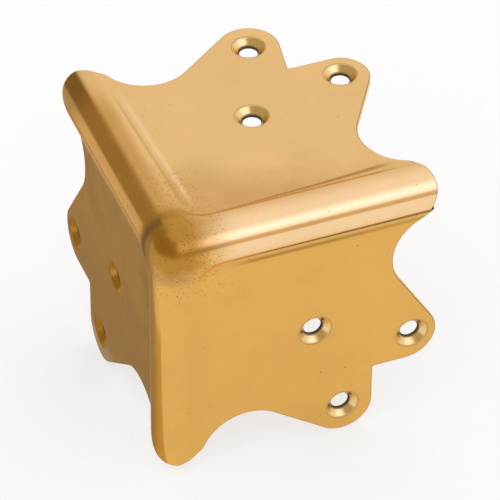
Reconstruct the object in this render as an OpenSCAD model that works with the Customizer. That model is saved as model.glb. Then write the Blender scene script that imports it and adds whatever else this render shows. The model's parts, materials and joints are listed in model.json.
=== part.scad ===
// Cast brass corner for a chest or case.
// Three flat plates at right angles, joined by three fat rounded ribs that meet in a ball corner.
// The origin is the inner corner, where the corner of the case seats. The plates lie above the case
// (+Z), in front of it (-Y) and to its left (-X).
// The shape is drawn in corner coordinates and then put in that place. There u, v and w run from the
// outer corner along the three ribs, to the right, to the back and down. The top plate is 0 (across
// w), the left plate is 1 (across u) and the front plate is 2 (across v).

/* [Plates] */
// Thickness of the three plates
plate_t = 2.4; // [2:0.1:3.6]
// Radius of the casting's fillet along the three inner edges
inside_r = 1; // [0.4:0.1:2]

/* [Screw holes] */
// Distance of each outer hole from the outer corner, along the rib that it lies beside
hole_far = 66.3; // [62:0.1:76]
// Distance of each outer hole from that rib's edge
hole_side = 47.8; // [44:0.1:52]
// Place of the top plate's right hole, from its left and front edges
top_right = [65.4, 47.8]; // [44:0.1:76]
// Place of the top plate's inner hole, from its left and front edges
top_inner = [38.6, 40.2]; // [30:0.1:44]
// Place of the left plate's inner hole, from its front and top edges
left_inner = [35.6, 37.7]; // [30:0.1:44]
// Place of the front plate's inner hole, from its top and left edges
front_inner = [38.6, 40]; // [30:0.1:44]
// Diameter of the countersink at the surface
sink_d = 8.4; // [7:0.1:9.6]
// Full angle of the countersink
sink_angle = 86; // [82:1:100]
// Diameter of the clearance hole
screw_d = 4.7; // [3.5:0.1:5.5]

/* [Outline] */
// Radius of the two lobes of a plate, each round its outer hole
lobe_r = 8; // [6.5:0.1:9.5]
// How much the left plate's back lobe and the front plate's right lobe are filed shorter
lobe_short = 1.5; // [0:0.1:2.5]
// Centre of the top plate's right lobe, from its left and front edges
top_right_lobe = [65.4, 47.2]; // [44:0.1:76]
// Radius of the top plate's right lobe
top_right_lobe_r = 7.4; // [6.5:0.1:9.5]
// How far the top plate's notch is filed in under its back lobe
top_notch_in = 1.9; // [0:0.1:2.5]
// Radius of the small fillet in the notch between the lobes
notch_r = 0.7; // [0.3:0.1:2]
// Radius of the top and front plates' scallops, between a lobe and a rib
scallop_r = 12.4; // [11:0.1:15]
// Distance of the scallop's centre from the edge that its rib follows
scallop_side = 22; // [20:0.1:24]
// Distance of the scallop's lowest point from the other edge
scallop_reach = 60.5; // [56:0.1:64]
// Radius of the left plate's scallops, which are filed wider and deeper
left_scallop_r = 13.4; // [13:0.1:18]
// Distance of the left plate's scallop centres from the edges that their ribs follow
left_scallop_side = 18.4; // [16:0.1:20]
// Distance of the left plate's scallops' lowest points from the other edge
left_scallop_reach = 57.1; // [54:0.1:62]

/* [Ribs] */
// Length of the ribs from the outer corner
rib_len = 71.6; // [66:0.1:80]
// Radius of the ribs and of the ball corner
rib_r = 6.3; // [4.8:0.1:7.4]
// Height of the ribs above the plates
rib_proud = 1.7; // [0.8:0.1:2.2]
// Radius of the cove between a rib and a plate
cove_r = 6.5; // [3:0.1:10]
// Plan radius left at the foot of the cove where two ribs meet
pocket_r = 4.6; // [2:0.1:8]
// Radius of the rounded end of a rib, seen square to its crest
tongue_r = 11; // [9:0.1:30]
// How far outside the left plate the arcs are centred that round the ends of its ribs
left_roll = 4.4; // [0:0.1:6]

/* [Hidden] */
$fn = 96;

over = 1;                          // how far a cutter runs past the metal
lap = 1;                           // how far the plates and ribs run into the metal that they grow from
rib_c = rib_r - rib_proud;         // depth of a rib's centre line below the plates' faces
cove_c = rib_c + sqrt(pow(rib_r + cove_r, 2) - pow(cove_r + rib_c, 2));
turn_c = cove_c + pocket_r;        // centre of the turn in a plate's inner corner
// Length of the plates and ribs before they are cut to outline
stock = max(hole_far + lobe_r, rib_len) + 4 * over;

// What each plate has of its own, in the order top, left, front
scallops = [
    [scallop_r, scallop_side, scallop_reach],
    [left_scallop_r, left_scallop_side, left_scallop_reach],
    [scallop_r, scallop_side, scallop_reach]
];
rolls = [rib_c, -left_roll, rib_c];
notch_ins = [top_notch_in, 0, 0];
inner_holes = [top_inner, left_inner, front_inner];
outer_holes = [
    [[hole_side, hole_far], top_right],
    [[hole_side, hole_far], [hole_far, hole_side]],
    [[hole_side, hole_far], [hole_far, hole_side]]
];
// The two lobes of each plate, the one at the end of its second axis first: each lobe's distance from
// the edge that it lies along, its distance from the other edge and its radius
full_lobe = [hole_side, hole_far, lobe_r];
short_lobe = [hole_side, hole_far - lobe_short, lobe_r];
lobes = [
    [full_lobe, [top_right_lobe[1], top_right_lobe[0], top_right_lobe_r]],
    [full_lobe, short_lobe],
    [short_lobe, full_lobe]
];

// Turns its children from the top plate's place to the place of plate k, about the corner's diagonal
module on_plate(k) {
    rotate(120 * k, [1, 1, 1])
        children();
}

// A block that fills the corner up to reach, its three edges and its point rounded to radius r about c
module rounded_corner(c, r, reach) {
    side = reach - c;
    translate([c, c, c]) {
        cube(side);
        for (k = [0:2])
            on_plate(k) {
                translate([0, 0, -r])
                    cube([side, side, r]);
                intersection() {
                    cylinder(r = r, h = side);
                    translate([-r - over, -r - over, 0])
                        cube([r + over, r + over, side]);
                }
            }
        intersection() {
            sphere(r);
            translate([-r - over, -r - over, -r - over])
                cube(r + over);
        }
    }
}

// Section of the space in the turn between two ribs: x runs out from the middle of the turn
module turn_section() {
    rib_x = turn_c - rib_c;
    cove_x = turn_c - cove_c;
    difference() {
        square([rib_x, rib_proud + over]);
        difference() {
            polygon([[cove_x, 0], [cove_x, cove_r], [rib_x, -rib_c], [cove_x, -rib_c]]);
            translate([cove_x, cove_r])
                circle(cove_r);
        }
        translate([rib_x, -rib_c])
            circle(rib_r);
    }
}

// The ball corner, with the coves turned into each plate's inner corner
module ball_corner() {
    difference() {
        rounded_corner(rib_c, rib_r, turn_c);
        for (k = [0:2])
            on_plate(k)
                translate([turn_c, turn_c, 0])
                    mirror([0, 0, 1])
                        rotate([0, 0, 180])
                            rotate_extrude(angle = 90)
                                turn_section();
    }
}

// Part of a rib's section: the rounded crest between its two coves
module crest_section() {
    centre = [rib_c, rib_c];
    // From the crest's centre to that of the cove, which the two circles touch on
    toward = [cove_c - rib_c, -cove_r - rib_c];
    far = -3 * rib_r;
    intersection() {
        translate(centre)
            circle(rib_r);
        polygon([centre, centre + toward, [far, far], centre + [toward[1], toward[0]]]);
    }
}

// Part of a rib's section: one cove, down to the foot where it meets the plate
module cove_section() {
    difference() {
        polygon([[rib_c, rib_c], [cove_c, -cove_r], [cove_c, rib_c]]);
        translate([cove_c, -cove_r])
            circle(cove_r);
    }
}

// Part of a rib's section: the flat of the plate beside the cove
module foot_section() {
    translate([cove_c, 0])
        square([turn_c - cove_c, turn_c]);
}

// Part of a rib's section: the metal behind the crest
module core_section() {
    translate([rib_c, rib_c])
        square(cove_c - rib_c);
}

// One half of a plate's outline, on the side of the rib that runs along y, up to the notch
module half_outline(scallop_size, roll_x, lobe_size, notch) {
    r = scallop_size[0];
    scallop = [scallop_size[1], scallop_size[2] + r];
    lobe = [lobe_size[0], lobe_size[1]];
    lobe_end_r = lobe_size[2];
    gap = lobe - scallop;
    // The straight flank touches both circles, and out points from the scallop's centre to it
    flank = atan2(gap[1], gap[0]) + asin((r + lobe_end_r) / norm(gap));
    out = [sin(flank), -cos(flank)];
    // The straight side touches the lobe too, and side points from the lobe's centre to it. A notch
    // that lies inside the lobe's circle leaves no straight side
    drop = notch - lobe;
    side_angle = atan2(drop[1], drop[0]) + acos(min(1, lobe_end_r / norm(drop)));
    side = [cos(side_angle), sin(side_angle)];
    // The arc that rolls from the rib's end into the scallop touches the end and the scallop
    across = scallop[0] - roll_x;
    past = scallop[1] - rib_len;
    roll_r = (across * across + past * past - r * r) / (2 * (r - past));
    roll = [roll_x, rib_len - roll_r];
    touch = roll + (scallop - roll) * roll_r / (roll_r + r);
    difference() {
        union() {
            polygon([
                [-rib_proud - over, -rib_proud - over],
                [-rib_proud - over, stock],
                [scallop[0], stock],
                scallop,
                scallop + r * out,
                lobe - lobe_end_r * out,
                lobe,
                lobe + lobe_end_r * side,
                notch
            ]);
            translate(lobe)
                circle(lobe_end_r);
        }
        translate(scallop)
            circle(r);
        difference() {
            translate([roll_x, touch[1]])
                square([across, stock]);
            translate(roll)
                circle(roll_r);
        }
    }
}

// The whole scalloped outline of plate k, with its notch filleted
module outline(k) {
    first = lobes[k][0];
    second = lobes[k][1];
    // The straight sides of the two lobes meet in the notch, and its fillet is no longer than they are
    notch = [first[0] + first[2] - notch_ins[k], second[0] + second[2]];
    fillet = min(notch_r, first[1] - notch[1], second[1] - notch[0]);
    half_outline(scallops[k], rolls[k], first, notch);
    mirror([1, -1])
        half_outline(scallops[k], rolls[k], second, [notch[1], notch[0]]);
    if (fillet > 0)
        translate(notch)
            difference() {
                square(fillet);
                translate([fillet, fillet])
                    circle(fillet);
            }
}

// The waste round plate k's outline, in the top plate's place
module outline_waste(k) {
    low = rib_proud + 2 * over;
    translate([0, 0, -rib_proud - over])
        linear_extrude(turn_c + rib_proud + over)
            difference() {
                translate([-low, -low])
                    square(stock + over + low);
                outline(k);
            }
}

// The waste beyond the rounded end of the rib that runs along w
module tongue_waste() {
    low = rib_proud + over;
    round_from = rib_len - tongue_r;
    difference() {
        translate([-low, -low, round_from])
            cube([turn_c + low, turn_c + low, stock + over - round_from]);
        translate([0, 0, round_from])
            rotate([90, 0, -45])
                cylinder(r = tongue_r, h = 3 * turn_c, center = true);
    }
}

// One strip of the rib that runs along w between plates a and b, cut to their outlines
module rib_strip(a, b, start = turn_c) {
    difference() {
        translate([0, 0, start])
            linear_extrude(stock - start)
                children();
        on_plate(1)
            outline_waste(a);
        on_plate(2)
            outline_waste(b);
    }
}

// A strip that the rib's rounded end cuts too
module rounded_strip(a, b, start = turn_c) {
    difference() {
        rib_strip(a, b, start)
            children();
        tongue_waste();
    }
}

// The rib that runs along w between plates a and b. Its core laps into the ball corner
module rib(a, b) {
    rounded_strip(a, b)
        crest_section();
    rounded_strip(a, b, turn_c - lap)
        core_section();
    for (turned = [0, 1]) {
        rounded_strip(a, b)
            mirror([turned, -turned])
                cove_section();
        rib_strip(a, b)
            mirror([turned, -turned])
                foot_section();
    }
}

// The flat of plate k beyond its turn, lapped into the ribs beside it
module plate(k) {
    start = turn_c - lap;
    linear_extrude(plate_t)
        intersection() {
            outline(k);
            translate([start, start])
                square(stock);
        }
}

// A countersunk screw hole, from the face of its plate inwards
module screw_hole(place) {
    cone_h = (sink_d - screw_d) / 2 / tan(sink_angle / 2);
    translate(place) {
        translate([0, 0, -over])
            cylinder(d = sink_d, h = over);
        cylinder(d1 = sink_d, d2 = screw_d, h = cone_h);
        cylinder(d = screw_d, h = plate_t + over);
    }
}

// The three holes of plate k
module plate_holes(k) {
    for (place = concat(outer_holes[k], [inner_holes[k]]))
        screw_hole(place);
}

// The whole casting, in its place on the case
module case_corner() {
    color([0.87, 0.67, 0.35])
        translate([-plate_t, -plate_t, plate_t])
            mirror([0, 0, 1])
                difference() {
                    union() {
                        ball_corner();
                        for (k = [0:2])
                            on_plate(k) {
                                rib((k + 1) % 3, (k + 2) % 3);
                                plate(k);
                            }
                    }
                    rounded_corner(plate_t + inside_r, inside_r, stock + over);
                    for (k = [0:2])
                        on_plate(k)
                            plate_holes(k);
                }
}

case_corner();
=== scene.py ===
"""Studio picture of a cast brass case corner, laid out as an add-on and run as a script."""
import json
import math

import bmesh
import bpy
from bpy.props import FloatProperty, FloatVectorProperty, IntProperty, PointerProperty
from mathutils import Matrix, Vector
from mathutils.bvhtree import BVHTree
from mathutils.geometry import barycentric_transform


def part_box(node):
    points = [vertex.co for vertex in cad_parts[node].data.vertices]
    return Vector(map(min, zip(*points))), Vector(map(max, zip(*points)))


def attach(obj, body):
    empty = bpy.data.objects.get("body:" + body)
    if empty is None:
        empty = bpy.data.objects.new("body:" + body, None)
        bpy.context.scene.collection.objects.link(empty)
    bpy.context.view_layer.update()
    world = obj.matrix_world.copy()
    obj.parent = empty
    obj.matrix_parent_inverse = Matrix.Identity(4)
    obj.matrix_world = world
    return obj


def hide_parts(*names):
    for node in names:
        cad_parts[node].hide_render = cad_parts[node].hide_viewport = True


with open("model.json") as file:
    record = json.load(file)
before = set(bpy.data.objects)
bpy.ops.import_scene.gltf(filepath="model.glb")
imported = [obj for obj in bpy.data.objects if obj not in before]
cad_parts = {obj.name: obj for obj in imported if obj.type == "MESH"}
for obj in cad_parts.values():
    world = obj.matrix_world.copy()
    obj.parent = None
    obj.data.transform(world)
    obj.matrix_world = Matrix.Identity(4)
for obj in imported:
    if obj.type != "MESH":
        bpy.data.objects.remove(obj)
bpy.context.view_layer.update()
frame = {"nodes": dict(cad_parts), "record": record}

bl_info = {
    "name": "Cast Brass Case Corner",
    "version": (1, 0, 0),
    "blender": (4, 5, 0),
    "location": "3D View > Sidebar > Case Corner",
    "description": "Finishes a cast brass case corner and sets up its studio picture",
    "category": "Object",
}

NODE = "case_corner"
BODY = "root"
BOX_LOW, BOX_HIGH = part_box(NODE)
BORES = [mount for mount in frame["record"]["mounts"] if mount["kind"] == "bore"]
MM = 0.001
MERGE = 1e-6
# Angles between faces: flatter ones are joined up, and sharper ones are rounded
FLAT = math.radians(0.3)
SHARP = math.radians(36)
# Names of the casting's own attribute and UV map, and what the map says inside a bore
ROUNDED = "rounded_edge"
TURNED = "turning_marks"
IN_BORE = -1.0
# How much a face looks along its bore's axis: less than this on the bore's wall, more than this on the plate
BORE_WALL = 0.3
PLATE_FACE = 0.95
# A corner's normal is taken this share of the way to its face's middle, where the casting's own surface is
# nearer than the reach and faces the same way by more than the match, a cosine
INWARD = 0.03
NORMAL_REACH = 0.3 * MM
NORMAL_MATCH = 0.86
# Colour of the painted shade in the bores and in a ring round each
BORE_SHADE = (0.03, 0.018, 0.01)
# Size of the smallest pit against the largest
PIT_SMALLEST = 0.4
# How far the foot of the left rib runs to the left over each millimetre to the back
LEFT_FOOT_SLANT = 0.0375
# Width of the sensor in millimetres, and how far the camera sees in metres
SENSOR = 36.0
CLIP_END = 20.0
FLOOR_RADIUS = 3.0
# Facets round the floor, and round a whole turn of a screen
FLOOR_SIDES = 96
SCREEN_STEPS = 72


class CornerCasting(bpy.types.PropertyGroup):
    """Shape of the casting and of its finished edges"""

    plate_t: FloatProperty(
        name="Plate thickness", description="Thickness of the three plates",
        default=2.4 * MM, min=0.0, subtype="DISTANCE", unit="LENGTH")
    rib_proud: FloatProperty(
        name="Rib height", description="Height of the ribs above the plates",
        default=1.7 * MM, min=0.0, subtype="DISTANCE", unit="LENGTH")
    sink_r: FloatProperty(
        name="Countersink radius", description="Radius of the countersinks at the surface",
        default=4.2 * MM, min=0.0, subtype="DISTANCE", unit="LENGTH")
    edge_round: FloatProperty(
        name="Edge round", description="Width that buffing took off the sharp edges",
        default=0.3 * MM, min=0.0, subtype="DISTANCE", unit="LENGTH")
    bore_round: FloatProperty(
        name="Bore round", description="Width of the rounding at the ends of the bores",
        default=0.12 * MM, min=0.0, subtype="DISTANCE", unit="LENGTH")
    edge_segments: IntProperty(
        name="Edge segments", description="Facets across a rounded edge", default=3, min=1, max=6)


class BrassFinish(bpy.types.PropertyGroup):
    """Colour and surface of the polished brass, with the colours that paint highlights, reflections and shade
    on it
    """

    brass: FloatVectorProperty(
        name="Brass", description="Colour of the front plate", subtype="COLOR",
        default=(0.75, 0.42, 0.10), min=0.0, max=1.0)
    # Painted light: the top plate is paler than the front, as if lit more from above
    lit_top_brass: FloatVectorProperty(
        name="Pale brass", description="Colour of the top plate", subtype="COLOR",
        default=(0.78, 0.49, 0.20), min=0.0, max=1.0)
    # Painted highlight: the pale colour of the upper rib's crest and of the strip beside the left rib,
    # standing in for the soft box's light
    highlight_brass: FloatVectorProperty(
        name="Rubbed brass", description="Colour of the brightly rubbed upper rib", subtype="COLOR",
        default=(0.93, 0.63, 0.34), min=0.0, max=1.0)
    # Painted shade: the darker brass on the top plate near the ribs and on the rib on the left
    shaded_brass: FloatVectorProperty(
        name="Deep brass", description="Colour of the rib on the left", subtype="COLOR",
        default=(0.64, 0.36, 0.12), min=0.0, max=1.0)
    # Painted dark reflection: the deep colour of the ball corner, and in part of the left rib and the left
    # plate's countersinks
    dark_reflection_brass: FloatVectorProperty(
        name="Toned brass", description="Colour of the ball corner, which is less rubbed", subtype="COLOR",
        default=(0.48, 0.235, 0.035), min=0.0, max=1.0)
    turned_brass: FloatVectorProperty(
        name="Turned brass", description="Colour of the countersinks", subtype="COLOR",
        default=(0.87, 0.62, 0.29), min=0.0, max=1.0)
    # Partly real tarnish, partly painted shade: the left plate mirrors the casting's shadow on the floor, and
    # this colour paints that shade in
    tarnish_and_shade: FloatVectorProperty(
        name="Tarnish", description="Colour of the tarnished left plate", subtype="COLOR",
        default=(0.32, 0.165, 0.052), min=0.0, max=1.0)
    edge_tint: FloatVectorProperty(
        name="Edge tint", description="Tint of the metal seen at a glancing angle", subtype="COLOR",
        default=(1.0, 0.85, 0.60), min=0.0, max=1.0)
    # Also the colour of the painted shade on the front rib's left flank and in the left plate's coves
    stain_and_shade: FloatVectorProperty(
        name="Stain", description="Colour of the brown stains and of the pits", subtype="COLOR",
        default=(0.16, 0.075, 0.02), min=0.0, max=1.0)
    # Painted dark reflection: the colour of the thin dark lines in the feet of the coves
    cove_foot_dark_reflection: FloatVectorProperty(
        name="Old polish", description="Colour of the old polish in the feet of the coves", subtype="COLOR",
        default=(0.34, 0.16, 0.03), min=0.0, max=1.0)
    # Painted reflection: the brown line where a rib turns into its cove, a mirrored horizon
    horizon_reflection_tone: FloatVectorProperty(
        name="Cove tone", description="Colour of the line where a rib turns into its cove", subtype="COLOR",
        default=(0.54, 0.34, 0.13), min=0.0, max=1.0)
    roughness: FloatProperty(
        name="Roughness", description="Roughness of the polish", default=0.13, min=0.0, max=1.0)
    film_gloss: FloatProperty(
        name="Film gloss", description="Gloss of the dirt film", default=0.05, min=0.0, max=1.0)
    lacquer: FloatProperty(
        name="Lacquer", description="Weight of the clear lacquer", default=0.12, min=0.0, max=1.0)
    lacquer_roughness: FloatProperty(
        name="Lacquer roughness", description="Roughness of the clear lacquer", default=0.2, min=0.0, max=1.0)


class StudioStage(bpy.types.PropertyGroup):
    """Camera, floor and lights of the studio"""

    camera_azimuth: FloatProperty(
        name="Camera azimuth", description="Turn of the camera round the corner, from the front to the right",
        default=math.radians(-21.4), subtype="ANGLE", unit="ROTATION")
    camera_elevation: FloatProperty(
        name="Camera elevation", description="Height angle of the camera", default=math.radians(40.96),
        subtype="ANGLE", unit="ROTATION")
    camera_roll: FloatProperty(
        name="Camera roll", description="Tilt of the camera", default=math.radians(0.28),
        subtype="ANGLE", unit="ROTATION")
    camera_distance: FloatProperty(
        name="Camera distance", description="Distance of the camera from the point it looks at",
        default=1.0715, subtype="DISTANCE", unit="LENGTH")
    camera_target: FloatVectorProperty(
        name="Camera target", description="Point the camera looks at, from the casting's outer corner",
        default=(0.0331, 0.02705, -0.03185), subtype="XYZ", unit="LENGTH")
    lens: FloatProperty(
        name="Lens", description="Focal length in millimetres on a 36 mm wide sensor",
        default=306.9, min=10.0)
    floor_colour: FloatVectorProperty(
        name="Floor", description="Colour of the pale floor", subtype="COLOR",
        default=(0.99, 0.99, 0.99), min=0.0, max=1.0)
    floor_shade: FloatProperty(
        name="Floor shade", description="Depth of the shadows on the floor", default=0.38, min=0.0, max=1.0)
    curtain: FloatVectorProperty(
        name="Curtain", description="Colour of the brown curtain that the metal mirrors", subtype="COLOR",
        default=(0.50, 0.42, 0.24), min=0.0, max=1.0)
    far_wall: FloatVectorProperty(
        name="Far wall", description="Colour of the low wall that the metal mirrors", subtype="COLOR",
        default=(0.70, 0.56, 0.36), min=0.0, max=1.0)
    # Painted shadow: the card stands in, in reflections, for the casting's own shadow on the floor behind the
    # left plate
    shadow_card_colour: FloatVectorProperty(
        name="Card", description="Colour of the card that the left plate mirrors", subtype="COLOR",
        default=(0.70, 0.58, 0.38), min=0.0, max=1.0)
    shadow_card_size: FloatVectorProperty(
        name="Card size", description="Width and depth of the card", size=2, default=(0.05, 0.20),
        subtype="XYZ_LENGTH", unit="LENGTH")
    daylight: FloatVectorProperty(
        name="Daylight", description="Colour of the soft box, a little cool", subtype="COLOR",
        default=(1.0, 1.0, 1.2), min=0.0, soft_max=1.0)
    soft_box: FloatProperty(
        name="Soft box", description="Strength of the soft box in front", default=1.5, min=0.0)
    screen_radius: FloatProperty(
        name="Screen radius", description="Distance of the curtain and the soft box", default=1.4,
        subtype="DISTANCE", unit="LENGTH")


def outer_corner(casting):
    """The point where the outer faces of the three plates would meet."""
    proud = casting.rib_proud
    return Vector((BOX_LOW.x + proud, BOX_LOW.y + proud, BOX_HIGH.z - proud))


def direction(azimuth, elevation):
    """A unit vector; azimuth runs from the front to the right."""
    return Vector((
        math.sin(azimuth) * math.cos(elevation),
        -math.cos(azimuth) * math.cos(elevation),
        math.sin(elevation)))


def new_material(name, shader_type="ShaderNodeBsdfPrincipled"):
    """A fresh node material with its output and surface shader, and the tree to build in."""
    material = bpy.data.materials.new(name)
    material.use_nodes = True
    tree = material.node_tree
    tree.nodes.clear()
    output = tree.nodes.new("ShaderNodeOutputMaterial")
    shader = tree.nodes.new(shader_type)
    tree.links.new(shader.outputs[0], output.inputs["Surface"])
    return material, tree, shader


def put(tree, value, socket):
    """Links another node's output to the socket, or sets the socket to a number or colour."""
    if isinstance(value, bpy.types.NodeSocket):
        tree.links.new(value, socket)
    else:
        socket.default_value = value


def calc(tree, operation, *values):
    """One step of arithmetic."""
    node = tree.nodes.new("ShaderNodeMath")
    node.operation = operation
    for value, socket in zip(values, node.inputs):
        put(tree, value, socket)
    return node.outputs["Value"]


def ramp(tree, value, low, high, to_low=0.0, to_high=1.0):
    """Runs smoothly from to_low, where the value is low, to to_high, where it is high."""
    node = tree.nodes.new("ShaderNodeMapRange")
    node.interpolation_type = "SMOOTHSTEP"
    names = ("Value", "From Min", "From Max", "To Min", "To Max")
    for name, given in zip(names, (value, low, high, to_low, to_high)):
        put(tree, given, node.inputs[name])
    return node.outputs["Result"]


def chained(tree, operation, values):
    """The values taken together, one after the other, by one kind of arithmetic."""
    result = values[0]
    for value in values[1:]:
        result = calc(tree, operation, result, value)
    return result


def product(tree, *values):
    """The values multiplied together."""
    return chained(tree, "MULTIPLY", values)


def total(tree, *values):
    """The values added up."""
    return chained(tree, "ADD", values)


def highest(tree, *values):
    """The highest of the values."""
    return chained(tree, "MAXIMUM", values)


def lowest(tree, *values):
    """The lowest of the values."""
    return chained(tree, "MINIMUM", values)


def weighted(tree, start, *parts):
    """The start value plus the first of each part times the second, its weight."""
    return total(tree, start, *(product(tree, value, weight) for value, weight in parts))


def fading(tree, value, full_to, end):
    """1 where the value is below full_to, fading to 0 at end."""
    return ramp(tree, value, full_to, end, to_low=1.0, to_high=0.0)


def band(tree, value, begin, full, full_to, end):
    """1 where the value lies from full to full_to, fading to 0 at begin and end."""
    return product(tree, ramp(tree, value, begin, full), fading(tree, value, full_to, end))


def mixed(tree, share, first, second):
    """The first colour, with that share of the second."""
    node = tree.nodes.new("ShaderNodeMix")
    node.data_type = "RGBA"
    put(tree, share, node.inputs[0])
    for value, socket in ((first, node.inputs[6]), (second, node.inputs[7])):
        put(tree, value if isinstance(value, bpy.types.NodeSocket) else (*value, 1.0), socket)
    return node.outputs[2]


def placed(tree, where, origin=(0.0, 0.0, 0.0), size=(1.0, 1.0, 1.0), turn=(0.0, 0.0, 0.0)):
    """Coordinates counted from origin along turned axes, in steps of size."""
    node = tree.nodes.new("ShaderNodeMapping")
    node.vector_type = "TEXTURE"
    put(tree, where, node.inputs["Vector"])
    node.inputs["Location"].default_value = origin
    node.inputs["Rotation"].default_value = turn
    node.inputs["Scale"].default_value = size
    return node.outputs["Vector"]


def noise(tree, where, size, detail=2.0, turn=(0.0, 0.0, 0.0)):
    """Smooth noise from 0 to 1, in grains of that size, or of three sizes along turned axes."""
    size = (size, size, size) if isinstance(size, (int, float)) else size
    node = tree.nodes.new("ShaderNodeTexNoise")
    put(tree, placed(tree, where, size=size, turn=turn), node.inputs["Vector"])
    node.inputs["Scale"].default_value = 1.0
    node.inputs["Detail"].default_value = detail
    return node.outputs["Fac"]


def pits(tree, where, spacing, radius, share):
    """Round pits, 1 in the middle of each, in that share of the cells of an uneven grid."""
    node = tree.nodes.new("ShaderNodeTexVoronoi")
    put(tree, placed(tree, where, size=(spacing, spacing, spacing)), node.inputs["Vector"])
    node.inputs["Scale"].default_value = 1.0
    chance = tree.nodes.new("ShaderNodeSeparateColor")
    tree.links.new(node.outputs["Color"], chance.inputs["Color"])
    kept = calc(tree, "LESS_THAN", chance.outputs["Red"], share)
    largest = radius / spacing
    smallest = PIT_SMALLEST * largest
    size = calc(tree, "MULTIPLY_ADD", chance.outputs["Green"], largest - smallest, smallest)
    return product(tree, kept, fading(tree, calc(tree, "DIVIDE", node.outputs["Distance"], size), 0.4, 1.0))


class BrassSurface:
    """The brass's node tree, with what its colour, film, polish and relief share. Places are in millimetres
    from the outer corner: u to the right, v to the back and w down. A mask is 1 in its place, 0 elsewhere."""

    def __init__(self, tree, casting):
        self.tree = tree
        self.plate = casting.plate_t / MM
        where = tree.nodes.new("ShaderNodeTexCoord").outputs["Object"]
        self.point = placed(tree, where, origin=outer_corner(casting), size=(MM, MM, MM))
        split = tree.nodes.new("ShaderNodeSeparateXYZ")
        tree.links.new(self.point, split.inputs["Vector"])
        self.u, self.v, height = split.outputs
        self.w = product(tree, height, -1.0)

        self.clouds = noise(tree, self.point, 16.0, detail=3.0)
        self.mottle = noise(tree, self.point, 3.2, detail=3.0)
        self.ragged = weighted(tree, -5.0, (self.clouds, 7.0), (self.mottle, 3.0))

        self.on_top = fading(tree, self.w, 1.0, 2.0)
        self.on_front = fading(tree, self.v, 1.0, 2.0)
        self.on_left = product(tree, self.in_plate(self.u), ramp(tree, self.v, 6.0, 9.0))
        self.inside = ramp(tree, lowest(tree, self.u, self.v, self.w), self.plate - 0.2, self.plate - 0.05)

        # Where dark reflections are painted: on the ball corner and on the left rib
        self.ball = self.ball_dark_reflection()
        self.left_rib_shade = self.left_rib_dark_reflection()
        self.stained = self.stains()
        self.pitted = self.pitting()
        self.scratched = self.scratches()
        self.sunk, self.soot, self.rings = self.turning()
        # Dirt and painted shade, and with the painted shade of the bores, the film that is not bare metal
        self.dirt_and_shade = self.dirt_and_shade_film()
        self.film_and_shade = highest(tree, self.dirt_and_shade, self.soot)

    def in_plate(self, depth):
        """The plate across this coordinate."""
        return fading(self.tree, depth, self.plate + 0.1, self.plate + 0.9)

    def near_edge(self, first, second):
        """The rib along which these two coordinates are small."""
        return fading(self.tree, highest(self.tree, first, second), 9.0, 12.5)

    def ball_dark_reflection(self):
        """Where a dark reflection is painted on the ball corner, with ragged borders to the right and below.
        """
        tree = self.tree
        return product(
            tree, fading(tree, total(tree, self.u, self.ragged), 6.0, 13.0), fading(tree, self.v, 9.0, 17.0),
            fading(tree, total(tree, self.w, self.ragged), 6.0, 11.0))

    def left_rib_dark_reflection(self):
        """Where a dark reflection is painted on the rib between the top and left plates, weaker towards its
        tip.
        """
        tree = self.tree
        return product(
            tree, self.near_edge(self.u, self.w), fading(tree, self.u, 5.0, 9.0),
            ramp(tree, self.v, 50.0, 66.0, to_low=1.0, to_high=0.2))

    def upper_rib_highlight(self):
        """Where a highlight is painted on the crest of the rib between the top and front plates; it begins
        raggedly at the ball corner.
        """
        tree = self.tree
        return product(
            tree, self.near_edge(self.v, self.w), fading(tree, self.w, 5.5, 9.5),
            ramp(tree, self.v, 1.5, 8.5, to_low=1.0, to_high=0.1),
            ramp(tree, total(tree, self.u, self.ragged), 9.0, 20.0))

    def left_flank_shade(self, begin, full):
        """The left flank of the rib between the front and left plates, by how much v is more than u there,
        where a dark reflection is painted.
        """
        tree = self.tree
        v_less_u = calc(tree, "SUBTRACT", self.v, self.u)
        return product(tree, self.near_edge(self.u, self.v), ramp(tree, v_less_u, begin, full))

    def left_cove_shade(self):
        """The two coves of the left plate, where shade is painted."""
        tree = self.tree
        strip = (6.0, 7.0, 9.0, 12.0)
        coves = highest(tree, band(tree, self.v, *strip), band(tree, self.w, *strip))
        return product(tree, self.on_left, coves)

    def upper_coves(self, *strip):
        """A strip along the two coves of the upper rib, on the top plate and on the front plate."""
        tree = self.tree
        return highest(
            tree, product(tree, self.on_top, band(tree, self.v, *strip)),
            product(tree, self.on_front, band(tree, self.w, *strip)))

    def top_reflection_line(self):
        """A painted dark reflection line on the top plate that bends away from the upper rib and widens on
        its way.
        """
        tree = self.tree
        square = calc(tree, "POWER", highest(tree, self.u, 0.0), 2.0)
        off_line = calc(tree, "SUBTRACT", self.v, weighted(tree, 8.5, (square, 0.0006)))
        half_width = ramp(tree, self.u, 18.0, 66.0, to_low=0.5, to_high=1.0)
        return product(
            tree, band(tree, calc(tree, "DIVIDE", off_line, half_width), -1.0, -0.3, 0.3, 1.0), self.on_top,
            band(tree, self.u, 14.0, 30.0, 58.0, 66.0), 0.75)

    def beside_left_rib(self, *strip):
        """A strip of the top plate along the foot of the rib on its left."""
        tree = self.tree
        from_rib = weighted(tree, self.u, (self.v, LEFT_FOOT_SLANT))
        return product(
            tree, band(tree, from_rib, *strip), self.on_top, band(tree, self.v, 12.0, 20.0, 52.0, 64.0))

    def front_reflection_line(self):
        """A painted dark reflection line on the front plate along the foot of the upper rib, weaker to the
        right.
        """
        tree = self.tree
        return product(
            tree, band(tree, self.w, 9.3, 10.0, 10.4, 11.1), self.on_front, ramp(tree, self.u, 17.0, 24.0),
            ramp(tree, self.u, 40.0, 66.0, to_low=0.7, to_high=0.4))

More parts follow.
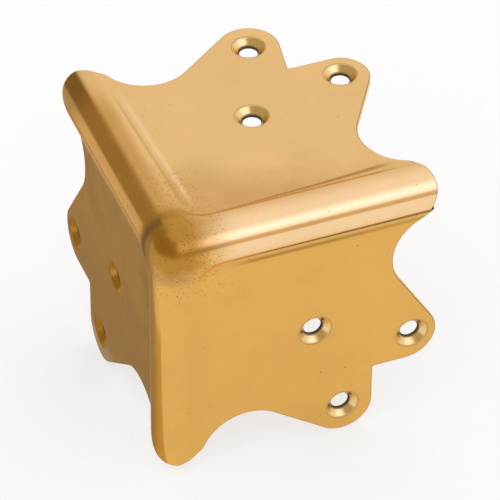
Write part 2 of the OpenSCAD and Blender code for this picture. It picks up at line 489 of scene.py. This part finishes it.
    def cove_foot_reflection_lines(self):
        """The thin painted dark reflection lines in the feet of the coves."""
        tree = self.tree
        left_reflection_line = product(tree, self.beside_left_rib(10.5, 11.1, 11.3, 11.9), 0.3)
        return highest(tree, self.top_reflection_line(), left_reflection_line, self.front_reflection_line())

    def stains(self):
        """Brown stain clouds on the left plate, and a brown that darkens it evenly towards its lower end."""
        tree = self.tree
        cloudy = ramp(tree, weighted(tree, self.clouds, (self.mottle, 0.35)), 0.6, 0.86)
        return product(tree, self.on_left, highest(tree, cloudy, ramp(tree, self.w, 24.0, 56.0)), 0.6)

    def pitting(self):
        """Fine pits close together round the ball corner, and a few larger ones in clusters elsewhere."""
        tree = self.tree
        fine = pits(tree, self.point, spacing=0.5, radius=0.2, share=0.5)
        large = pits(tree, self.point, spacing=1.3, radius=0.26, share=0.16)
        from_ball = highest(tree, total(tree, self.u, self.ragged), self.w, product(tree, self.v, 0.6))
        cluster = ramp(tree, noise(tree, self.point, 12.0, detail=1.0), 0.5, 0.64)
        return highest(
            tree, product(tree, fine, fading(tree, from_ball, 12.0, 22.0)), product(tree, large, cluster))

    def scratches(self):
        """Fine scratches in two directions."""
        tree = self.tree
        first = noise(tree, self.point, (0.12, 9.0, 3.0), detail=1.0, turn=(0.3, 0.5, 0.9))
        second = noise(tree, self.point, (7.0, 0.12, 3.0), detail=1.0, turn=(0.7, 0.2, 0.4))
        return highest(tree, ramp(tree, first, 0.66, 0.74), ramp(tree, second, 0.67, 0.75))

    def turning(self):
        """The countersinks, the painted shade in the bores and round them, and the rings that the cutter
        left.
        """
        tree = self.tree
        lathe = tree.nodes.new("ShaderNodeUVMap")
        lathe.uv_map = TURNED
        split = tree.nodes.new("ShaderNodeSeparateXYZ")
        tree.links.new(lathe.outputs["UV"], split.inputs["Vector"])
        radius = split.outputs["Y"]
        sunk = ramp(tree, radius, 0.5, 1.0)
        in_bore = fading(tree, radius, IN_BORE, IN_BORE / 2)
        soot = highest(tree, in_bore, product(tree, sunk, fading(tree, radius, 2.5, 3.0)))
        return sunk, soot, noise(tree, lathe.outputs["UV"], (0.5, 0.12, 1.0))

    def dirt_and_shade_film(self):
        """Dirt on the rounded rims and in the pits, a painted dark reflection on the front rib's left flank
        and painted shade in the left plate's coves.
        """
        tree = self.tree
        rounded = tree.nodes.new("ShaderNodeAttribute")
        rounded.attribute_name = ROUNDED
        rim_share = ramp(tree, self.sunk, 0.0, 1.0, to_low=0.5, to_high=0.2)
        return highest(
            tree, product(tree, rounded.outputs["Fac"], rim_share), product(tree, self.pitted, 0.8),
            product(tree, self.left_flank_shade(5.0, 7.8), 0.4), product(tree, self.left_cove_shade(), 0.85))


def bare_brass(brass, finish):
    """The colour of the metal on the plates, the ribs and the ball corner and in the countersinks, with
    painted light in it: a paler top plate, a painted highlight on the upper rib, and painted shade and dark
    reflections on the left plate, the left rib, the front rib's left flank, the ball corner and the left
    countersinks.
    """
    tree = brass.tree
    # Painted light on the top plate: darker near the ribs and paler away from them, with random clouds
    from_ribs = total(tree, weighted(tree, brass.v, (brass.u, 0.3), (brass.clouds, 20.0)), -10.0)
    top_light_gradient = mixed(tree, ramp(tree, from_ribs, 16.0, 38.0), finish.shaded_brass, finish.lit_top_brass)
    colour = mixed(tree, brass.in_plate(brass.w), finish.brass, top_light_gradient)
    # Painted shade on the left plate, over its real tarnish
    colour = mixed(tree, brass.on_left, colour, finish.tarnish_and_shade)
    colour = mixed(tree, brass.stained, colour, finish.stain_and_shade)
    # Painted dark reflection on the rib on the left
    colour = mixed(tree, brass.left_rib_shade, colour, finish.shaded_brass)
    # Painted highlight along the crest of the upper rib
    colour = mixed(tree, brass.upper_rib_highlight(), colour, finish.highlight_brass)
    # Painted dark reflection on the left flank of the front rib
    colour = mixed(tree, brass.left_flank_shade(1.5, 7.0), colour, finish.tarnish_and_shade)
    # Painted dark reflection on the ball corner and, more weakly, on the left rib
    dark_reflection = highest(tree, brass.ball, product(tree, brass.left_rib_shade, 0.4))
    colour = mixed(tree, dark_reflection, colour, finish.dark_reflection_brass)
    # The left plate's countersinks take the painted dark reflection colour
    turned = mixed(tree, brass.on_left, finish.turned_brass, finish.dark_reflection_brass)
    return mixed(tree, brass.sunk, colour, turned)


def brass_colour(brass, finish):
    """The metal's colour, with the painted reflection lines along the ribs, a painted highlight strip, the
    dirt and painted shade, the painted shade in the bores and a fine unevenness.
    """
    tree = brass.tree
    # Painted reflection line along the coves of the upper rib
    horizon_reflection_line = product(tree, brass.upper_coves(6.8, 7.4, 8.0, 8.8), ramp(tree, brass.u, 14.0, 20.0), 0.6)
    # Painted highlight: a pale strip on the top plate beside the foot of the left rib, where the cove mirrors
    # light
    highlight_strip = product(tree, brass.beside_left_rib(12.2, 13.0, 13.2, 14.4), 0.5)
    colour = mixed(tree, horizon_reflection_line, bare_brass(brass, finish), finish.horizon_reflection_tone)
    # Painted dark reflection lines in the feet of the coves
    colour = mixed(tree, brass.cove_foot_reflection_lines(), colour, finish.cove_foot_dark_reflection)
    colour = mixed(tree, highlight_strip, colour, finish.highlight_brass)
    # Dirt on the rims and in the pits, and painted shade on the left flank and in the left coves
    colour = mixed(tree, brass.dirt_and_shade, colour, finish.stain_and_shade)
    # Painted shade in the bores and in a ring round each bore
    colour = mixed(tree, product(tree, brass.soot, 0.9), colour, BORE_SHADE)
    grain = noise(tree, brass.point, 0.35, detail=1.0)
    shaded = tree.nodes.new("ShaderNodeVectorMath")
    shaded.operation = "SCALE"
    tree.links.new(colour, shaded.inputs[0])
    shade = weighted(tree, 0.86, (brass.clouds, 0.16), (brass.mottle, 0.06), (grain, 0.06))
    tree.links.new(shade, shaded.inputs["Scale"])
    return shaded.outputs["Vector"]


def brass_roughness(brass, finish):
    """The roughness of the polish, with what each kind of wear adds to it."""
    return weighted(
        brass.tree, finish.roughness - 0.03, (brass.clouds, 0.06), (brass.scratched, 0.07),
        (brass.stained, 0.12), (brass.pitted, 0.3), (brass.inside, 0.22), (brass.ball, 0.2),
        (brass.sunk, 0.1), (brass.film_and_shade, 0.4), (brass.upper_coves(8.0, 9.5, 11.0, 13.0), 0.2))


def brass_relief(brass):
    """The height of the surface, in millimetres: waves and grain of the casting, pits, scratches, the rough
    inner faces and the cutter's rings."""
    tree = brass.tree
    waves = noise(tree, brass.point, 13.0, detail=1.0)
    grain = noise(tree, brass.point, 0.5)
    as_cast = product(tree, brass.inside, noise(tree, brass.point, 0.9, detail=3.0))
    cut = product(tree, brass.sunk, brass.rings)
    return weighted(
        tree, 0.0, (waves, 0.05), (grain, 0.0012), (brass.pitted, -0.05), (brass.scratched, -0.0012),
        (as_cast, 0.07), (cut, 0.02))


def brass_material(finish, casting):
    """Polished, lacquered cast brass with the stains, pits and scratches of use, and with painted highlights,
    reflections and shade in its colour.
    """
    material, tree, shader = new_material("polished_cast_brass")
    brass = BrassSurface(tree, casting)
    tree.links.new(brass_colour(brass, finish), shader.inputs["Base Color"])
    tree.links.new(brass_roughness(brass, finish), shader.inputs["Roughness"])
    tree.links.new(weighted(tree, 1.0, (brass.film_and_shade, -0.85)), shader.inputs["Metallic"])
    bump = tree.nodes.new("ShaderNodeBump")
    bump.inputs["Strength"].default_value = 1.0
    bump.inputs["Distance"].default_value = MM
    tree.links.new(brass_relief(brass), bump.inputs["Height"])
    tree.links.new(bump.outputs["Normal"], shader.inputs["Normal"])
    shader.inputs["Specular IOR Level"].default_value = finish.film_gloss
    shader.inputs["Specular Tint"].default_value = (*finish.edge_tint, 1.0)
    shader.inputs["Coat Weight"].default_value = finish.lacquer
    shader.inputs["Coat Roughness"].default_value = finish.lacquer_roughness
    return material


def off_axis(bore, point):
    """The way from a bore's axis straight out to the point."""
    out, axis = point - Vector(bore["pos_m"]), Vector(bore["axis"])
    return out - axis * out.dot(axis)


def finish_edges(bm, casting):
    """Joins the flat faces up and rounds the sharp edges, less at the ends of the bores than elsewhere."""
    bmesh.ops.remove_doubles(bm, verts=bm.verts, dist=MERGE)
    bmesh.ops.dissolve_limit(bm, angle_limit=FLAT, verts=bm.verts, edges=bm.edges)
    rounded = bm.faces.layers.float.new(ROUNDED)
    outer, of_bores = [], []
    for edge in bm.edges:
        if edge.calc_face_angle(0.0) > SHARP:
            middle = (edge.verts[0].co + edge.verts[1].co) / 2
            bore_r = casting.sink_r - casting.edge_round
            in_bore = any(off_axis(bore, middle).length < bore_r for bore in BORES)
            (of_bores if in_bore else outer).append(edge)
    for edges, width in ((outer, casting.edge_round), (of_bores, casting.bore_round)):
        made = bmesh.ops.bevel(
            bm, geom=edges, offset=width, offset_type="OFFSET", affect="EDGES",
            segments=casting.edge_segments, profile=0.5, material=-1, clamp_overlap=False)
        for face in made["faces"]:
            face[rounded] = 1.0


def surface_normals(source):
    """A function that gives the casting's own normal beside a point on a face that looks along facing."""
    source.calc_loop_triangles()
    corner = source.corner_normals
    points = [vertex.co.copy() for vertex in source.vertices]
    triangles = [tuple(triangle.vertices) for triangle in source.loop_triangles]
    normals = [[corner[i].vector.copy() for i in triangle.loops] for triangle in source.loop_triangles]
    tree = BVHTree.FromPolygons(points, triangles)

    def smooth_normal(point, facing):
        near = [
            (distance, index, place)
            for place, normal, index, distance in tree.find_nearest_range(point, NORMAL_REACH)
            if normal.dot(facing) > NORMAL_MATCH]
        if not near:
            return facing
        _, index, place = min(near, key=lambda found: found[0])
        corners = [points[i] for i in triangles[index]]
        blended = barycentric_transform(place, *corners, *normals[index]).normalized()
        return blended if blended.dot(facing) > NORMAL_MATCH else facing

    return smooth_normal


def take_normals(mesh, source):
    """Gives each corner of the mesh the source's smooth normal, and blends them across the rounded edges."""
    smooth_normal = surface_normals(source)
    rounded = mesh.attributes[ROUNDED].data
    custom = [None] * len(mesh.loops)
    beside = {}
    for face in mesh.polygons:
        if rounded[face.index].value:
            continue
        for loop in face.loop_indices:
            vertex = mesh.loops[loop].vertex_index
            inward = mesh.vertices[vertex].co.lerp(face.center, INWARD)
            custom[loop] = smooth_normal(inward, face.normal)
            beside[vertex] = beside.get(vertex, Vector()) + custom[loop]
    for loop, normal in enumerate(custom):
        if normal is None:
            vertex = mesh.loops[loop].vertex_index
            custom[loop] = beside.get(vertex, mesh.vertices[vertex].normal).normalized()
    mesh.normals_split_custom_set(custom)


def mark_turning(mesh, casting):
    """Writes each countersink's angle and radius, in millimetres, to a UV map. The radius is IN_BORE in the
    bores and 0 elsewhere."""
    layer = mesh.uv_layers.new(name=TURNED)
    for item in layer.data:
        item.uv = (0.0, 0.0)
    for bore in BORES:
        axis = Vector(bore["axis"])
        across = axis.orthogonal().normalized()
        along = axis.cross(across)
        for face in mesh.polygons:
            out = off_axis(bore, face.center)
            steep = abs(face.normal.dot(axis))
            if out.length > casting.sink_r + casting.edge_round or steep > PLATE_FACE:
                continue
            if steep < BORE_WALL:
                for loop in face.loop_indices:
                    layer.data[loop].uv = (0.0, IN_BORE)
                continue
            middle = math.atan2(out.dot(along), out.dot(across))
            for loop in face.loop_indices:
                out = off_axis(bore, mesh.vertices[mesh.loops[loop].vertex_index].co)
                angle = math.atan2(out.dot(along), out.dot(across))
                angle += math.tau * round((middle - angle) / math.tau)
                layer.data[loop].uv = (angle, out.length / MM)


class CORNER_OT_casting(bpy.types.Operator):
    """Makes the casting with its buffed edges and polished finish"""

    bl_idname = "corner.casting"
    bl_label = "Brass casting"

    def execute(self, context):
        casting = context.scene.corner_casting
        source = frame["nodes"][NODE].data
        bm = bmesh.new()
        bm.from_mesh(source)
        finish_edges(bm, casting)
        mesh = bpy.data.meshes.new("brass_corner")
        bm.to_mesh(mesh)
        bm.free()
        mesh.shade_smooth()
        take_normals(mesh, source)
        mark_turning(mesh, casting)
        piece = bpy.data.objects.new("brass_corner", mesh)
        context.scene.collection.objects.link(piece)
        mesh.materials.append(brass_material(context.scene.brass_finish, casting))
        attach(piece, BODY)
        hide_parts(NODE)
        return {"FINISHED"}


class CORNER_OT_stage(bpy.types.Operator):
    """Sets the camera, the pale floor, the white room, and the screens and the card of painted shadow that
    the metal mirrors
    """

    bl_idname = "corner.stage"
    bl_label = "Studio stage"

    def execute(self, context):
        scene = context.scene
        studio = scene.studio_stage
        place_camera(scene, studio, outer_corner(scene.corner_casting))
        place_floor(scene, studio)
        radius = studio.screen_radius
        screen(
            scene, "soft_box", radius, studio.daylight, studio.soft_box,
            azimuths=(-12, 20, 66, 84), elevations=(12, 32, 42, 66))
        screen(
            scene, "curtain", radius, studio.curtain,
            azimuths=(-194, -160, -35, -15), elevations=(-1, 5, 46, 60))
        screen(
            scene, "camera_side", 1.05 * radius, studio.curtain,
            azimuths=(-150, -125, -12, 24), elevations=(-3, 2, 66, 84))
        screen(
            scene, "far_wall", 1.1 * radius, studio.far_wall,
            azimuths=(-15, -8, 55, 65), elevations=(-8, -4, 10, 22))
        place_shadow_card(scene, studio)
        light_world(scene)
        scene.view_settings.view_transform = "Standard"
        return {"FINISHED"}


def place_camera(scene, studio, corner):
    """The camera at the picture's angle."""
    data = bpy.data.cameras.new("camera")
    data.sensor_width = SENSOR
    data.lens = studio.lens
    data.clip_end = CLIP_END
    camera = bpy.data.objects.new("camera", data)
    away = direction(studio.camera_azimuth, studio.camera_elevation)
    target = corner + Vector(studio.camera_target)
    turn = away.to_track_quat("Z", "Y").to_matrix() @ Matrix.Rotation(studio.camera_roll, 3, "Z")
    camera.matrix_world = Matrix.Translation(target + away * studio.camera_distance) @ turn.to_4x4()
    scene.collection.objects.link(camera)
    scene.camera = camera


def stage_piece(scene, name, bm, material):
    """A piece of the studio made from the bmesh."""
    mesh = bpy.data.meshes.new(name)
    bm.to_mesh(mesh)
    bm.free()
    mesh.materials.append(material)
    piece = bpy.data.objects.new(name, mesh)
    scene.collection.objects.link(piece)
    return piece


def place_floor(scene, studio):
    """A pale floor under the casting."""
    bm = bmesh.new()
    bmesh.ops.create_circle(bm, cap_ends=True, segments=FLOOR_SIDES, radius=FLOOR_RADIUS)
    bmesh.ops.translate(bm, vec=(0.0, 0.0, BOX_LOW.z), verts=bm.verts)
    material, tree, shader = new_material("pale_floor")
    # The floor glows a little where it is seen or mirrored, so that it is as white as the room behind it
    path = tree.nodes.new("ShaderNodeLightPath")
    rays = ("Is Camera Ray", "Is Glossy Ray", "Is Transmission Ray")
    seen = highest(tree, *(path.outputs[ray] for ray in rays))
    put(tree, product(tree, seen, 1.0 - studio.floor_shade), shader.inputs["Emission Strength"])
    shader.inputs["Emission Color"].default_value = (*studio.floor_colour, 1.0)
    shade = studio.floor_shade
    shader.inputs["Base Color"].default_value = (*(shade * value for value in studio.floor_colour), 1.0)
    shader.inputs["Roughness"].default_value = 0.9
    shader.inputs["Specular IOR Level"].default_value = 0.0
    stage_piece(scene, "floor", bm, material)


def place_shadow_card(scene, studio):
    """A tan card on the floor beside and behind the left plate, that only the metal mirrors: a painted shadow
    that stands in for the casting's own shadow on the floor there.
    """
    bm = bmesh.new()
    bmesh.ops.create_grid(bm, x_segments=1, y_segments=1, size=0.5)
    bmesh.ops.scale(bm, vec=(studio.shadow_card_size[0], studio.shadow_card_size[1], 1.0), verts=bm.verts)
    middle = (BOX_LOW.x - studio.shadow_card_size[0] / 2, BOX_LOW.y + studio.shadow_card_size[1] / 2, BOX_LOW.z + MM)
    bmesh.ops.translate(bm, vec=middle, verts=bm.verts)
    material, tree, glow = new_material("shadow_card", "ShaderNodeEmission")
    glow.inputs["Color"].default_value = (*studio.shadow_card_colour, 1.0)
    only_mirrored(stage_piece(scene, "card", bm, material))


def only_mirrored(piece):
    """Hides the piece from everything but reflections."""
    piece.visible_camera = False
    piece.visible_diffuse = False
    piece.visible_shadow = False


def screen(scene, name, radius, colour, strength=1.0, *, azimuths, elevations):
    """A curved screen that only the metal mirrors. The azimuths and elevations, in degrees as seen from the
    casting, are where its soft border begins, where it is full, how far it is full and where it ends."""
    middle = math.radians(azimuths[0] + azimuths[3]) / 2
    azimuths = [math.radians(angle) - middle for angle in azimuths]
    elevations = [math.radians(angle) for angle in elevations]
    bm = screen_shape(radius, middle, azimuths, elevations)
    material, tree, mix = new_material(name, "ShaderNodeMixShader")
    where = tree.nodes.new("ShaderNodeSeparateXYZ")
    seen_from = tree.nodes.new("ShaderNodeTexCoord").outputs["Object"]
    tree.links.new(placed(tree, seen_from, turn=(0.0, 0.0, middle)), where.inputs["Vector"])
    x, y, z = where.outputs
    azimuth = calc(tree, "ARCTAN2", x, product(tree, y, -1.0))
    elevation = calc(tree, "ARCSINE", calc(tree, "DIVIDE", z, radius))
    glow = tree.nodes.new("ShaderNodeEmission")
    glow.inputs["Color"].default_value = (*colour, 1.0)
    glow.inputs["Strength"].default_value = strength
    covered = product(tree, band(tree, azimuth, *azimuths), band(tree, elevation, *elevations))
    put(tree, covered, mix.inputs[0])
    put(tree, tree.nodes.new("ShaderNodeBsdfTransparent").outputs["BSDF"], mix.inputs[1])
    put(tree, glow.outputs["Emission"], mix.inputs[2])
    only_mirrored(stage_piece(scene, name, bm, material))


def screen_shape(radius, middle, azimuths, elevations):
    """The faces of a sphere that a screen covers, with a margin. The azimuths count from its middle."""
    bm = bmesh.new()
    bmesh.ops.create_uvsphere(bm, u_segments=SCREEN_STEPS, v_segments=SCREEN_STEPS // 2, radius=radius)
    margin = 2 * math.tau / SCREEN_STEPS
    outside = []
    for face in bm.faces:
        centre = Matrix.Rotation(-middle, 3, "Z") @ face.calc_center_median()
        azimuth, elevation = math.atan2(centre.x, -centre.y), math.asin(centre.z / centre.length)
        inside = azimuths[0] - margin < azimuth < azimuths[3] + margin
        if not (inside and elevations[0] - margin < elevation < elevations[3] + margin):
            outside.append(face)
    bmesh.ops.delete(bm, geom=outside, context="FACES")
    return bm


def light_world(scene):
    """An even white room."""
    world = bpy.data.worlds.new("studio")
    world.use_nodes = True
    scene.world = world
    background = world.node_tree.nodes["Background"]
    background.inputs["Color"].default_value = (1.0, 1.0, 1.0, 1.0)
    background.inputs["Strength"].default_value = 1.0


class CORNER_PT_panel(bpy.types.Panel):
    """Lists the casting's and the studio's settings"""

    bl_label = "Case Corner"
    bl_idname = "CORNER_PT_panel"
    bl_space_type = "VIEW_3D"
    bl_region_type = "UI"
    bl_category = "Case Corner"

    def draw(self, context):
        layout = self.layout
        for group in (context.scene.corner_casting, context.scene.brass_finish, context.scene.studio_stage):
            box = layout.box()
            for name in group.__annotations__:
                box.prop(group, name)
        layout.operator(CORNER_OT_casting.bl_idname)
        layout.operator(CORNER_OT_stage.bl_idname)


CLASSES = (CornerCasting, BrassFinish, StudioStage, CORNER_OT_casting, CORNER_OT_stage, CORNER_PT_panel)


def register():
    """Adds the classes and the scene's settings."""
    for cls in CLASSES:
        bpy.utils.register_class(cls)
    bpy.types.Scene.corner_casting = PointerProperty(type=CornerCasting)
    bpy.types.Scene.brass_finish = PointerProperty(type=BrassFinish)
    bpy.types.Scene.studio_stage = PointerProperty(type=StudioStage)


def unregister():
    """Takes the scene's settings and the classes away."""
    del bpy.types.Scene.studio_stage
    del bpy.types.Scene.brass_finish
    del bpy.types.Scene.corner_casting
    for cls in reversed(CLASSES):
        bpy.utils.unregister_class(cls)


def main():
    """Builds the scene."""
    register()
    bpy.ops.corner.casting()
    bpy.ops.corner.stage()


if __name__ == "__main__":
    main()
